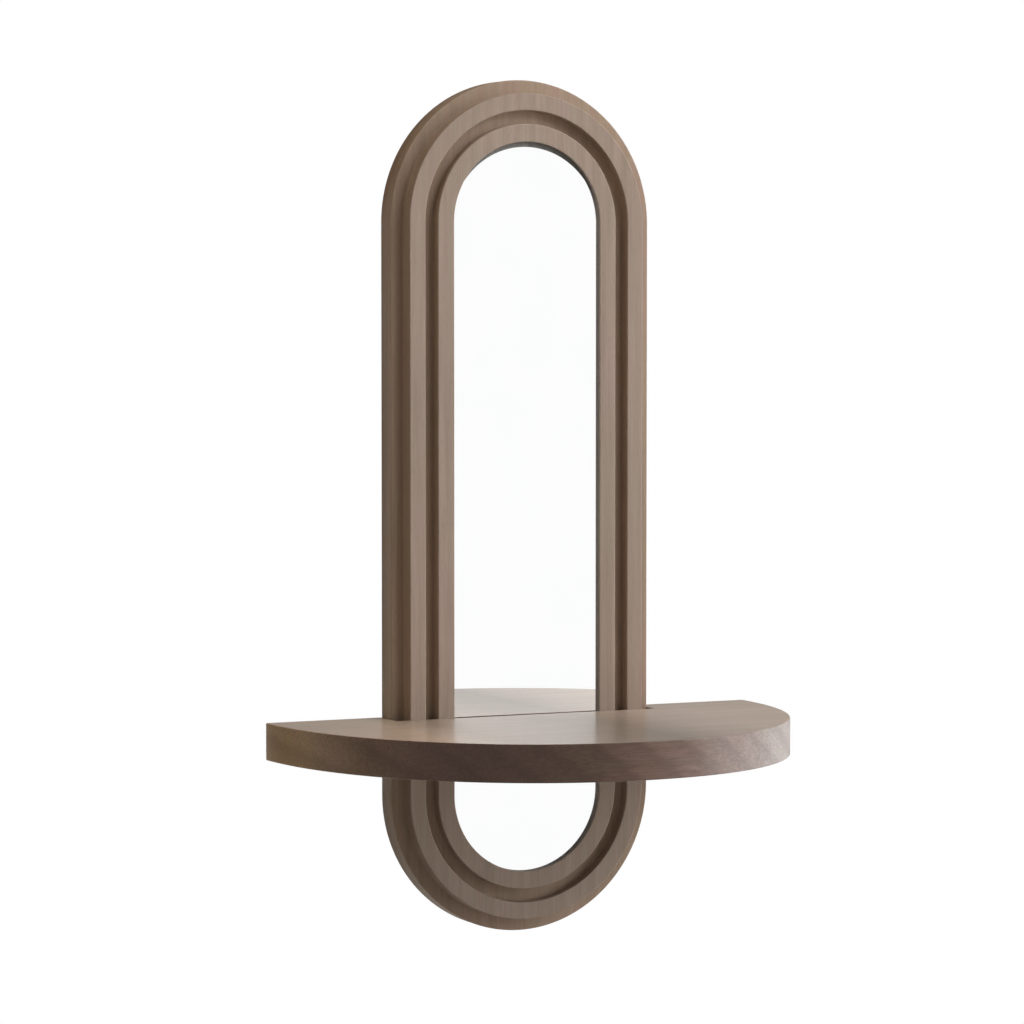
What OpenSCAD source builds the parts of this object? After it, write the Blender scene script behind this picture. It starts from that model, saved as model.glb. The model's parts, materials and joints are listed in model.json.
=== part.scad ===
// Wall mirror with a small shelf: a tall arched wooden frame with two raised
// rings, a mirror held in from behind, and a half-oval shelf notched around
// the frame's lower end. It hangs from one keyhole plate let into the back.
//
// Lengths are in millimetres. +Z is up, +X is the viewer's right and the front
// faces -Y. The origin is the middle of the keyhole's round entry, in the plane
// of the frame's back. A depth is a distance forward from that plane.

/* [Frame] */
// Height of the frame over both arches
frame_h = 345; // [260:1:420]
// Width of the frame, twice the radius of its arches
frame_w = 115; // [108:1:150]
// Thickness of the board, up to the faces of both rings
frame_t = 16; // [15:0.5:22]
// Width of the low ledge that runs round the outside
ledge_w = 5.5; // [3:0.1:8]
// Thickness of the board at the ledge
ledge_t = 9.7; // [8.5:0.1:13]
// Width of the outer ring's face
outer_ring_w = 6.9; // [6:0.1:10]
// Width of the groove between the rings
groove_w = 5.4; // [3:0.1:7]
// Depth of the groove below the faces of the rings
groove_d = 4.4; // [2:0.1:6]
// Width of the inner ring's face
inner_ring_w = 7.2; // [5.5:0.1:10]
// Break on the front edges of the rings and the ledge
edge_break = 0.4; // [0.2:0.1:1.2]

/* [Mirror and its back] */
// Width of the rabbet that the mirror lies in
rabbet_w = 4.5; // [3:0.1:5]
// Thickness of the lip in front of the mirror
lip_t = 2; // [1.5:0.1:4]
// Gap between the rabbet's wall and the pieces laid in it
rabbet_gap = 0.5; // [0.2:0.1:1]
// Thickness of the mirror glass
glass_t = 3; // [2:0.5:4]
// Break on the mirror glass's edges
glass_break = 0.4; // [0.2:0.1:0.8]
// Thickness of the foam sheet behind the glass
foam_t = 1; // [0.5:0.1:2]
// Thickness of the hardboard back panel
panel_t = 3; // [2:0.5:3.5]

/* [Retaining points] */
// Length of a flat steel point
point_l = 11; // [9:0.5:14]
// Width of a point
point_w = 5; // [4:0.5:8]
// Thickness of a point
point_t = 0.5; // [0.3:0.1:0.8]
// How far a point is driven into the frame
point_bite = 6; // [5:0.5:7]
// Height between the points along one side
point_pitch = 110; // [60:1:170]

/* [Shelf] */
// Width of the shelf at its widest
shelf_w = 216; // [180:1:260]
// Depth of the shelf from its back edge to its front
shelf_d = 124.5; // [90:0.5:150]
// Thickness of the shelf
shelf_t = 14.8; // [12:0.1:20]
// Depth at the back over which the shelf's ends run straight
shelf_straight = 1.6; // [1.2:0.1:15]
// Radius of the shelf's upright corners at the back
shelf_corner_r = 1.2; // [0.6:0.1:4]
// Height of the shelf's top above the lowest point of the frame
shelf_rise = 88.8; // [75:0.1:120]
// Gap between the frame's sides and the notch in the shelf
notch_gap = 0.3; // [0.1:0.05:1]

/* [Shelf screws] */
// Length of a shelf screw, head included
shelf_screw_l = 32; // [26:1:45]
// Diameter of its plain shank
shelf_screw_d = 3.5; // [3:0.1:4.5]
// Diameter of its countersunk head
shelf_screw_head_d = 6.6; // [5.5:0.1:8]

/* [Hanger] */
// Length of the keyhole plate
plate_l = 40; // [36:1:48]
// Height of the keyhole plate
plate_h = 14; // [13:0.5:15]
// Thickness of the keyhole plate
plate_t = 1.5; // [1:0.1:2.5]
// Distance from the top of the frame down to the middle of the entry hole
hanger_drop = 12.5; // [12:0.1:13.5]
// Diameter of the keyhole's round entry
entry_d = 7.8; // [7:0.1:8.2]
// Width of the keyhole's slot
slot_w = 4; // [3.5:0.1:4.5]
// Rise from the middle of the entry to the middle of the slot's end
slot_rise = 4; // [3.5:0.1:4.5]
// Room for the wall screw's head behind the plate
head_room = 5.2; // [4:0.1:5.5]
// Distance between the two screws that hold the plate
plate_screw_pitch = 27; // [24:1:30]
// Length of a plate screw, head included
plate_screw_l = 10; // [8:0.5:12]
// Diameter of a plate screw's shank
plate_screw_d = 2.6; // [2.2:0.1:3]
// Diameter of a plate screw's countersunk head
plate_screw_head_d = 4.8; // [4:0.1:5.4]

/* [Wall pads] */
// Diameter of a felt pad
pad_d = 10; // [7:0.5:14]
// Thickness of a felt pad
pad_t = 1; // [0.6:0.1:2]

/* [Hidden] */
$fn = 96;

// How far every cut runs past the face it opens
over = 1;
// Clearance round a screw's shank in its plain hole
shank_gap = 0.15;
// Clearance of a close fit, as round a thread or a driven point
fit_gap = 0.02;

// Radii of the frame's outlines: one stadium inside another, on the same two arch centres
edge_r = frame_w / 2;
outer_ring_r = edge_r - ledge_w;
groove_out_r = outer_ring_r - outer_ring_w;
groove_in_r = groove_out_r - groove_w;
opening_r = groove_in_r - inner_ring_w;
rabbet_r = opening_r + rabbet_w;

// Heights, counted from the keyhole
frame_top_z = hanger_drop;
arch_high_z = frame_top_z - edge_r;
arch_low_z = arch_high_z - (frame_h - frame_w);
frame_mid_z = (arch_high_z + arch_low_z) / 2;
frame_bottom_z = frame_top_z - frame_h;
shelf_top_z = frame_bottom_z + shelf_rise;
shelf_mid_z = shelf_top_z - shelf_t / 2;

// Depths of the pieces in the rabbet, from the front to the back
glass_front = frame_t - lip_t;
glass_back = glass_front - glass_t;
foam_back = glass_back - foam_t;
panel_back = foam_back - panel_t;

// The shelf's rounded front: the power of its curve, where 2 is an ellipse
shelf_curve_power = 2.08;
shelf_curve_steps = 72;
shelf_corner_step = 15;

// Screws: the thread's core, and the cross in the head, as shares of the shank and the head
core_share = 0.72;
cross_share = 0.62;
cross_w_share = 0.16;
cross_depth_share = 0.7;
tip_share = 1.2;

// Places: the shelf screws pass behind the outer ring, the plate lies on its middle line
shelf_screw_x = (outer_ring_r + groove_out_r) / 2;
pad_x = (rabbet_r + edge_r) / 2;

// The pocket behind the keyhole clears the screw's head all the way up the slot
pocket_gap = 0.9;
pocket_r = entry_d / 2 + pocket_gap;
pocket_low_z = pocket_gap / 2;
pocket_high_z = slot_rise - pocket_gap;
plate_z = (pocket_low_z + pocket_high_z) / 2;

// Each point: where it crosses the rabbet's wall, and the way that it is driven.
// Two stand on each side, and two in each arch
side_points = [
    for (turn = [180, 0], z = [point_pitch / 2, -point_pitch / 2])
        [[rabbet_r * cos(turn), frame_mid_z + z], turn]
];
arch_points = [
    for (turn = [135, 45, -135, -45])
        [[rabbet_r * cos(turn), (turn > 0 ? arch_high_z : arch_low_z) + rabbet_r * sin(turn)], turn]
];
point_places = concat(side_points, arch_points);

pad_places = [
    [-pad_x, arch_high_z], [pad_x, arch_high_z],
    [-pad_x, arch_low_z], [pad_x, arch_low_z]
];

wood = [0.58, 0.51, 0.45];
shelf_wood = [0.62, 0.55, 0.49];
steel = [0.72, 0.72, 0.73];

// Turns what is drawn in X and Z, and extruded, to face the front, at a depth
module at_depth(depth) {
    translate([0, -depth, 0]) rotate([90, 0, 0]) children();
}

// Upright outline with round ends, on the frame's arch centres
module stadium(r) {
    translate([0, arch_high_z]) circle(r);
    translate([0, arch_low_z]) circle(r);
    translate([-r, arch_low_z]) square([2 * r, arch_high_z - arch_low_z]);
}

// Board of that outline between two depths
module slab(r, from, to) {
    at_depth(from) linear_extrude(to - from) stadium(r);
}

// Layer whose outline changes evenly from one radius to another between two depths
module taper(r_from, r_to, from, to) {
    for (z = [arch_high_z, arch_low_z])
        translate([0, 0, z]) at_depth(from) cylinder(h = to - from, r1 = r_from, r2 = r_to);
    translate([0, 0, arch_low_z])
        linear_extrude(arch_high_z - arch_low_z)
            polygon([[-r_from, -from], [r_from, -from], [r_to, -to], [-r_to, -to]]);
}

// Board with its front edge broken
module broken_slab(r, from, to, edge) {
    slab(r, from, to - edge);
    taper(r, r - edge, to - edge, to);
}

// Cut with a broken edge where it opens at the front, run past that face
module front_cut(r, from, to, edge) {
    slab(r, from, to - edge);
    taper(r, r + edge + over, to - edge, to + over);
}

// Countersunk wood screw along the depth, its head in the plane of the back
module wood_screw(length, d, head_d, plain) {
    core = d * core_share;
    head_h = (head_d - d) / 2;
    tip = d * tip_share;
    difference() {
        union() {
            at_depth(0) cylinder(h = head_h, d1 = head_d, d2 = d);
            at_depth(head_h) cylinder(h = plain - head_h, d = d);
            at_depth(plain) cylinder(h = length - plain - tip, d = core);
            at_depth(length - tip) cylinder(h = tip, d1 = core, d2 = 0);
        }
        for (turn = [0, 90])
            at_depth(-over) rotate([0, 0, turn])
                linear_extrude(over + head_h * cross_depth_share)
                    square([head_d * cross_share, head_d * cross_w_share], center = true);
    }
}

// Hole for that screw: countersink, clearance for the shank, close fit for the thread
module screw_hole(length, d, head_d, plain) {
    head_h = (head_d - d) / 2;
    at_depth(-over) cylinder(h = over, d = head_d + 2 * fit_gap);
    at_depth(0) cylinder(h = head_h, d1 = head_d + 2 * fit_gap, d2 = d + 2 * fit_gap);
    at_depth(head_h) cylinder(h = plain - head_h, d = d + 2 * shank_gap);
    at_depth(plain) cylinder(h = length - plain + fit_gap, d = d * core_share + 2 * fit_gap);
}

module shelf_screw_at(side) {
    translate([side * shelf_screw_x, 0, shelf_mid_z])
        wood_screw(shelf_screw_l, shelf_screw_d, shelf_screw_head_d, frame_t);
}

module shelf_screw_hole_at(side) {
    translate([side * shelf_screw_x, 0, shelf_mid_z])
        screw_hole(shelf_screw_l, shelf_screw_d, shelf_screw_head_d, frame_t);
}

module plate_screw_at(side) {
    translate([side * plate_screw_pitch / 2, 0, plate_z])
        wood_screw(plate_screw_l, plate_screw_d, plate_screw_head_d, plate_t + plate_screw_d);
}

module plate_screw_hole_at(side) {
    translate([side * plate_screw_pitch / 2, 0, plate_z])
        screw_hole(plate_screw_l, plate_screw_d, plate_screw_head_d, plate_t + plate_screw_d);
}

// Outline of the keyhole plate, lying across the frame
module plate_outline(gap) {
    r = plate_h / 2 + gap;
    run = plate_l - plate_h;
    translate([0, plate_z]) {
        for (side = [-1, 1]) translate([side * run / 2, 0]) circle(r);
        square([run, 2 * r], center = true);
    }
}

// Upright slot with round ends, from one height to another
module upright_slot(r, low, high) {
    for (z = [low, high]) translate([0, z]) circle(r);
    translate([-r, low]) square([2 * r, high - low]);
}

// Outline of a point: square tail on the panel, sharp nose in the wood
module point_outline(gap) {
    half = point_w / 2 + gap;
    nose = point_w / 2;
    polygon([
        [point_bite - point_l - gap, -half], [point_bite - nose, -half],
        [point_bite + gap, 0],
        [point_bite - nose, half], [point_bite - point_l - gap, half]
    ]);
}

module point_body(place, gap) {
    at_depth(panel_back - point_t - gap)
        translate(place[0]) rotate([0, 0, place[1]])
            linear_extrude(point_t + gap) point_outline(gap);
}

// Outline of the shelf, seen from above, with its back edge on the wall's side
function shelf_point(angle) = [
    shelf_w / 2 * sign(cos(angle)) * pow(abs(cos(angle)), 2 / shelf_curve_power),
    -shelf_straight - (shelf_d - shelf_straight) * pow(abs(sin(angle)), 2 / shelf_curve_power)
];

module shelf_outline() {
    corner = min(shelf_corner_r, shelf_straight);
    inset = shelf_w / 2 - corner;
    polygon(concat(
        [for (turn = [90 : -shelf_corner_step : 0])
            [inset + corner * cos(turn), corner * sin(turn) - corner]],
        [for (i = [0 : shelf_curve_steps]) shelf_point(180 * i / shelf_curve_steps)],
        [for (turn = [180 : -shelf_corner_step : 90])
            [corner * cos(turn) - inset, corner * sin(turn) - corner]]
    ));
}

// One board, routed in front into a ledge, two rings and a groove, and behind for the mirror
module frame() {
    groove_floor = frame_t - groove_d;
    color(wood) difference() {
        union() {
            broken_slab(edge_r, 0, ledge_t, edge_break);
            difference() {
                broken_slab(outer_ring_r, 0, frame_t, edge_break);
                front_cut(groove_out_r, groove_floor, frame_t, edge_break);
            }
            broken_slab(groove_in_r, groove_floor, frame_t, edge_break);
        }
        front_cut(opening_r, -over, frame_t, edge_break);
        slab(rabbet_r, -over, glass_front);
        at_depth(-over) linear_extrude(over + plate_t) plate_outline(fit_gap);
        at_depth(-over) linear_extrude(over + plate_t + head_room)
            upright_slot(pocket_r, pocket_low_z, pocket_high_z);
        for (side = [-1, 1]) {
            shelf_screw_hole_at(side);
            plate_screw_hole_at(side);
        }
        for (place = point_places) point_body(place, fit_gap);
    }
}

module mirror_glass() {
    r = rabbet_r - rabbet_gap;
    color([0.86, 0.89, 0.9]) {
        taper(r - glass_break, r, glass_back, glass_back + glass_break);
        slab(r, glass_back + glass_break, glass_front - glass_break);
        taper(r, r - glass_break, glass_front - glass_break, glass_front);
    }
}

module foam_sheet() {
    color([0.9, 0.9, 0.88]) slab(rabbet_r - rabbet_gap, foam_back, glass_back);
}

module back_panel() {
    color([0.45, 0.33, 0.23]) slab(rabbet_r - rabbet_gap, panel_back, foam_back);
}

module retaining_point(i) {
    color(steel) point_body(point_places[i], 0);
}

// Half-oval board with a notch for the frame, as deep as the frame is thick
module shelf() {
    notch_w = frame_w + 2 * notch_gap;
    color(shelf_wood) difference() {
        translate([0, 0, shelf_top_z - shelf_t]) linear_extrude(shelf_t) shelf_outline();
        translate([-notch_w / 2, -frame_t, shelf_top_z - shelf_t - over])
            cube([notch_w, frame_t + over, shelf_t + 2 * over]);
        for (side = [-1, 1]) shelf_screw_hole_at(side);
    }
}

module shelf_screw_left() {
    color(steel) shelf_screw_at(-1);
}

module shelf_screw_right() {
    color(steel) shelf_screw_at(1);
}

module hanger_plate() {
    color(steel) difference() {
        at_depth(0) linear_extrude(plate_t) plate_outline(0);
        at_depth(-over) linear_extrude(plate_t + 2 * over) upright_slot(slot_w / 2, 0, slot_rise);
        at_depth(-over) cylinder(h = plate_t + 2 * over, d = entry_d);
        for (side = [-1, 1]) plate_screw_hole_at(side);
    }
}

module hanger_screw_left() {
    color(steel) plate_screw_at(-1);
}

module hanger_screw_right() {
    color(steel) plate_screw_at(1);
}

module felt_pad(i) {
    color([0.35, 0.33, 0.31])
        at_depth(-pad_t) translate(pad_places[i]) cylinder(h = pad_t, d = pad_d);
}

frame();
mirror_glass();
foam_sheet();
back_panel();
for (i = [0 : len(point_places) - 1])
    retaining_point(i);
shelf();
shelf_screw_left();
shelf_screw_right();
hanger_plate();
hanger_screw_left();
hanger_screw_right();
for (i = [0 : len(pad_places) - 1])
    felt_pad(i);
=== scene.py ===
import json
import math
import bmesh
import bpy
from mathutils import Matrix, Vector

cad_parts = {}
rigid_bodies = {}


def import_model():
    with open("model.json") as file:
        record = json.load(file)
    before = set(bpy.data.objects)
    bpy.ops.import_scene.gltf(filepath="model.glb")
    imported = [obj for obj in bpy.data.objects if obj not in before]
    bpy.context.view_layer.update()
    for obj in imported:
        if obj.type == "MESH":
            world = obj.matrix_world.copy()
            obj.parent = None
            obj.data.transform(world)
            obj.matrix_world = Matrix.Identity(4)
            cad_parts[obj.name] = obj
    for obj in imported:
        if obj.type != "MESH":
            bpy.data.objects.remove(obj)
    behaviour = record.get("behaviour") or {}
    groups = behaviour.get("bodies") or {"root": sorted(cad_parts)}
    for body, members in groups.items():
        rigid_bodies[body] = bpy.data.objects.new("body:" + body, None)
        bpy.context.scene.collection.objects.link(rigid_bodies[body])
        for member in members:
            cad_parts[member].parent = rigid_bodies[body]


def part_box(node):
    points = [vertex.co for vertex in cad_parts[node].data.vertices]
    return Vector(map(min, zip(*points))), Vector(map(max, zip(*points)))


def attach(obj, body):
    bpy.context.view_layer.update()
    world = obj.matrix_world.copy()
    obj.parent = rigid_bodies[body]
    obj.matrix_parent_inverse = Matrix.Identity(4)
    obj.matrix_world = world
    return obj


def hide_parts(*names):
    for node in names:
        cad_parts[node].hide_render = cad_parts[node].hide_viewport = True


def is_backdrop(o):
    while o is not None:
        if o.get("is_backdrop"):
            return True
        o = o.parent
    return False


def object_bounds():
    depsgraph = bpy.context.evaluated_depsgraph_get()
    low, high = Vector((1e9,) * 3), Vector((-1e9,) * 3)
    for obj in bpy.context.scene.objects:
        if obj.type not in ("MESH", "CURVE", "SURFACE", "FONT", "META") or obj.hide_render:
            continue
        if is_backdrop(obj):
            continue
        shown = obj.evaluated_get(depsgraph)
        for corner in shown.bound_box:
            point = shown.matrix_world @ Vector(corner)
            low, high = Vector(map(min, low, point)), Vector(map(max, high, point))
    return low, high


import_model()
cad_low, cad_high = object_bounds()


# Frame board: one solid board with two half-round ends, stained a greyish brown and varnished matt.
# A router has cut its front into a low ledge, two raised rings and a groove between them, and
# its back into a rabbet for the mirror. The grain runs straight up, through both arches too.
board_low, board_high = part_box("frame")
edge_radius = (board_high.x - board_low.x) / 2
board_thickness = -board_low.y
arch_high = board_high.z - edge_radius
arch_low = board_low.z + edge_radius
ledge_width = 0.0055
ledge_thickness = 0.0097
outer_ring_width = 0.0069
groove_width = 0.0054
groove_depth = 0.0044
inner_ring_width = 0.0072
rabbet_width = 0.0045
lip_thickness = 0.0020
ledge_break = 0.0005
ring_break = 0.0004
inner_corner = 0.0003
rabbet_break = 0.0002
break_steps = 4
arch_steps = 480
sweep_step = 0.0015
sharp_angle = math.radians(12)
board_sharp_angle = math.radians(4)
no_width = 0.000001
next_to_nothing = 0.0000001


def add_node(tree, kind, inputs=(), **settings):
    """Adds a node, sets its properties, and links or fills its inputs."""
    made = tree.nodes.new(kind)
    for setting, value in settings.items():
        setattr(made, setting, value)
    for key, value in dict(inputs).items():
        if isinstance(value, bpy.types.NodeSocket):
            tree.links.new(value, made.inputs[key])
        else:
            made.inputs[key].default_value = value
    return made


def add_math(tree, operation, first, second=0.0):
    """Result of one sum on two numbers or sockets."""
    return add_node(tree, "ShaderNodeMath", {0: first, 1: second}, operation=operation).outputs[0]


def add_vector_math(tree, operation, first, second):
    """Node for one sum on two vectors or sockets. Output 0 is a vector, and Value a number."""
    return add_node(tree, "ShaderNodeVectorMath", {0: first, 1: second}, operation=operation)


def add_range(tree, value, low, high, to_low=0.0, to_high=1.0):
    """A value spread from one range onto another, and held to it."""
    spread = {"Value": value, "From Min": low, "From Max": high, "To Min": to_low, "To Max": to_high}
    return add_node(tree, "ShaderNodeMapRange", spread).outputs[0]


def add_noise(tree, place, scale, detail=2.0, roughness=0.5):
    """Noise over a place, with its own scale along each axis. Gives the node."""
    stretched = add_node(tree, "ShaderNodeMapping", {"Vector": place, "Scale": scale}).outputs[0]
    settings = {"Vector": stretched, "Scale": 1.0, "Detail": detail, "Roughness": roughness}
    return add_node(tree, "ShaderNodeTexNoise", settings)


def add_ramp(tree, factor, stops):
    """Colour ramp over a factor. Each stop is a place and a colour or a grey level."""
    ramp = add_node(tree, "ShaderNodeValToRGB", {"Fac": factor})
    elements = ramp.color_ramp.elements
    while len(elements) < len(stops):
        elements.new(1.0)
    for element, (place, colour) in zip(elements, stops):
        element.position = place
        element.color = (*colour, 1) if isinstance(colour, tuple) else (colour, colour, colour, 1)
    return ramp.outputs["Color"]


def srgb(red, green, blue):
    """Colour as a picture shows it, 0 to 255, turned into linear light."""
    return tuple(((level / 255 + 0.055) / 1.055) ** 2.4 for level in (red, green, blue))


def mix_colours(tree, factor, first, second, blend="MIX"):
    """Mix of two colours or sockets. They are inputs 6 and 7 of a Mix node, and output 2 is their mix."""
    mixed = add_node(tree, "ShaderNodeMix", {0: factor}, data_type="RGBA", blend_type=blend)
    for socket, value in ((mixed.inputs[6], first), (mixed.inputs[7], second)):
        if isinstance(value, bpy.types.NodeSocket):
            tree.links.new(value, socket)
        else:
            socket.default_value = (*value, 1)
    return mixed.outputs[2]


def new_material(name):
    """Empty node material. Gives it and its tree."""
    material = bpy.data.materials.new(name)
    material.use_nodes = True
    material.node_tree.nodes.clear()
    return material, material.node_tree


def finish_material(tree, shader_inputs):
    """Ends a material's tree in one principled shader."""
    shader = add_node(tree, "ShaderNodeBsdfPrincipled", shader_inputs)
    add_node(tree, "ShaderNodeOutputMaterial", {"Surface": shader.outputs[0]})


# Patterns of the timber: how often each repeats in a metre, both ways across the grain and along it
drift_scale = (22, 22, 5)
fibre_scale = (1100, 1100, 28)
band_scale = (190, 190, 5)
blotch_scale = (16, 16, 9)
warmth_scale = (260, 260, 16)
pore_scale = (1900, 1900, 180)

# Where on a growth ring its late wood lies, and how dark a pore is from its middle outwards
ring_profile = [(0.0, 0.0), (0.4, 0.15), (0.75, 1.0), (1.0, 0.0)]
pore_profile = [(0.0, 1.0), (0.16, 1.0), (0.3, 0.0)]

# Noise seldom leaves the wide span, and lies mostly in the narrow one
wide_span = (0.3, 0.7)
narrow_span = (0.35, 0.65)
stain_span = (0.3, 0.66)

# How far the fibres drift, in metres, and the rings, in rings. How much a pore darkens and dents.
drift_reach = 0.009
ring_wander = 0.25
pore_shade = 0.5
pore_bump = 0.6

# The stain varies a little between a rosy and an olive brown
rosy_tint = (1.03, 0.985, 1.0)
olive_tint = (0.985, 1.01, 0.965)


def stained_wood(name, light, dark, rings_per_metre, specular, coat, grain_turn=(0, 0, 0),
                 ring_depth=0.1, pore_depth=0.3, fibre_share=0.5, along=None):
    """Stained and varnished timber. grain_turn turns the grain onto Z, and along tints it by place, which
    here carries painted light and shade.
    """
    material, tree = new_material(name)
    place = add_node(tree, "ShaderNodeTexCoord").outputs["Object"]
    turned = add_node(tree, "ShaderNodeMapping", {"Vector": place, "Rotation": grain_turn}).outputs[0]

    # The fibres wander a little, so every pattern reads a place that a slow noise has shifted
    drift = add_noise(tree, turned, drift_scale).outputs["Color"]
    centred = add_vector_math(tree, "SUBTRACT", drift, (0.5, 0.5, 0.5)).outputs[0]
    shift = add_vector_math(tree, "MULTIPLY", centred, (drift_reach, drift_reach, 0)).outputs[0]
    grain = add_vector_math(tree, "ADD", turned, shift).outputs[0]
    fibre = add_noise(tree, grain, fibre_scale, detail=3.0).outputs["Fac"]
    band = add_noise(tree, grain, band_scale).outputs["Fac"]
    blotch = add_noise(tree, grain, blotch_scale).outputs["Fac"]
    warmth = add_noise(tree, grain, warmth_scale).outputs["Fac"]

    # Growth rings: soft bands through the board, each with a sharper line of late wood
    through = add_vector_math(tree, "DOT_PRODUCT", grain, rings_per_metre).outputs["Value"]
    wander = add_math(tree, "MULTIPLY", band, ring_wander)
    ring_phase = add_math(tree, "FRACT", add_math(tree, "ADD", through, wander))
    late_wood = add_ramp(tree, ring_phase, ring_profile)

    # Pores: short dark flecks along the grain
    pore_place = add_node(tree, "ShaderNodeMapping", {"Vector": grain, "Scale": pore_scale}).outputs[0]
    pore_cell = add_node(tree, "ShaderNodeTexVoronoi", {"Vector": pore_place, "Scale": 1.0})
    pore = add_ramp(tree, pore_cell.outputs["Distance"], pore_profile)

    # Fibres, bands and late wood set the depth of the stain, and three slower patterns vary it
    level = add_math(tree, "ADD", add_math(tree, "MULTIPLY", fibre, fibre_share),
                     add_math(tree, "MULTIPLY", band, 1.0 - fibre_share))
    level = add_math(tree, "SUBTRACT", level, add_math(tree, "MULTIPLY", late_wood, ring_depth))
    colour = mix_colours(tree, add_range(tree, level, *stain_span), dark, light)
    tint = mix_colours(tree, add_range(tree, warmth, *narrow_span), rosy_tint, olive_tint)
    colour = mix_colours(tree, 1.0, colour, tint, "MULTIPLY")
    patchy = add_range(tree, blotch, *narrow_span, to_low=0.95, to_high=1.05)
    patch = add_node(tree, "ShaderNodeCombineColor", {0: patchy, 1: patchy, 2: patchy}).outputs[0]
    colour = mix_colours(tree, 1.0, colour, patch, "MULTIPLY")
    pore_colour = tuple(pore_shade * part for part in dark)
    colour = mix_colours(tree, add_math(tree, "MULTIPLY", pore, pore_depth), colour, pore_colour)
    if along:
        colour = mix_colours(tree, 1.0, colour, along(tree, place), "MULTIPLY")

    height = add_math(tree, "SUBTRACT", fibre, add_math(tree, "MULTIPLY", pore, pore_bump))
    bump = add_node(tree, "ShaderNodeBump", {"Height": height, "Strength": 0.4, "Distance": 0.00005})
    finish_material(tree, {
        "Base Color": colour, "Roughness": add_range(tree, fibre, *wide_span, to_low=0.55, to_high=0.45),
        "Normal": bump.outputs[0], "Specular IOR Level": specular,
        "Coat Weight": coat, "Coat Roughness": 0.22, "Coat IOR": 1.45})
    return material


def side_painted_shade(tree, place):
    """Painted shade: the outer side is browner than the front, most so at its back edge, and each recess a
    little, where shade falls.
    """
    across = add_node(tree, "ShaderNodeSeparateXYZ", {0: place}).outputs["Y"]
    forward = add_range(tree, across, 0.0, -board_thickness)
    side_end = (ledge_thickness - ledge_break) / board_thickness
    ledge_start = (ledge_thickness - ledge_break / 2) / board_thickness
    recess_end = 0.9
    face_start = 0.99
    return add_ramp(tree, forward, [
        (0.0, (0.72, 0.63, 0.50)), (side_end, (1.04, 0.93, 0.78)), (ledge_start, (1.04, 0.98, 0.91)),
        (recess_end, (1.03, 0.97, 0.90)), (face_start, (1.0, 1.0, 1.0))])


board_rings = (150, 60, 0)
# The frame's wood carries painted shade on its outer side and in its recesses
frame_wood = stained_wood("frame_wood", light=srgb(160, 145, 134), dark=srgb(145, 130, 119),
                          rings_per_metre=board_rings, specular=0.12, coat=0.0, pore_depth=0.18,
                          along=side_painted_shade)
# Painted shade: the lip's inner face is coloured darker than the rest of the board
lip_wood = stained_wood("lip_wood", light=srgb(122, 114, 110), dark=srgb(108, 100, 96),
                        rings_per_metre=board_rings, specular=0.12, coat=0.0)

# Section of the board, from the outer edge inwards: distance from the arch's centre, depth
# forward from the back, and the radius of the corner there
ledge_radius = edge_radius - ledge_width
groove_outer = ledge_radius - outer_ring_width
groove_inner = groove_outer - groove_width
opening_radius = groove_inner - inner_ring_width
rabbet_radius = opening_radius + rabbet_width
groove_floor = board_thickness - groove_depth
mirror_seat = board_thickness - lip_thickness
section = [
    (edge_radius, 0.0, rabbet_break),
    (edge_radius, ledge_thickness, ledge_break),
    (ledge_radius, ledge_thickness, inner_corner),
    (ledge_radius, board_thickness, ring_break),
    (groove_outer, board_thickness, ring_break),
    (groove_outer, groove_floor, inner_corner),
    (groove_inner, groove_floor, inner_corner),
    (groove_inner, board_thickness, ring_break),
    (opening_radius, board_thickness, ring_break),
    (opening_radius, mirror_seat, rabbet_break),
    (rabbet_radius, mirror_seat, rabbet_break),
    (rabbet_radius, 0.0, rabbet_break),
]
scene_objects = bpy.context.scene.collection.objects

# Stands a flat drawing up: its y becomes the height, and its levels go forward from the back
upright = Matrix.Rotation(math.radians(90), 4, "X")


def poly_curve(name, points):
    """Closed curve with straight sides. Each point is x, y and the radius of its corner."""
    data = bpy.data.curves.new(name, "CURVE")
    spline = data.splines.new("POLY")
    spline.points.add(len(points) - 1)
    for point, (x, y, radius) in zip(spline.points, points):
        point.co = (x, y, 0, 1)
        point.radius = radius
    spline.use_cyclic_u = True
    made = bpy.data.objects.new(name, data)
    scene_objects.link(made)
    return made


def new_tree(name, inputs):
    """Geometry tree with named inputs and one geometry output. Gives it and its input sockets."""
    tree = bpy.data.node_groups.new(name, "GeometryNodeTree")
    for label, kind in inputs:
        tree.interface.new_socket(label, in_out="INPUT", socket_type="NodeSocket" + kind)
    tree.interface.new_socket("Geometry", in_out="OUTPUT", socket_type="NodeSocketGeometry")
    return tree, add_node(tree, "NodeGroupInput").outputs


def finish_tree(tree, geometry, material):
    """Ends a geometry tree in real faces with their material."""
    real = add_node(tree, "GeometryNodeRealizeInstances", {"Geometry": geometry}).outputs[0]
    finished = add_node(tree, "GeometryNodeSetMaterial", {"Geometry": real, "Material": material})
    add_node(tree, "NodeGroupOutput", {0: finished.outputs[0]})


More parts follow.
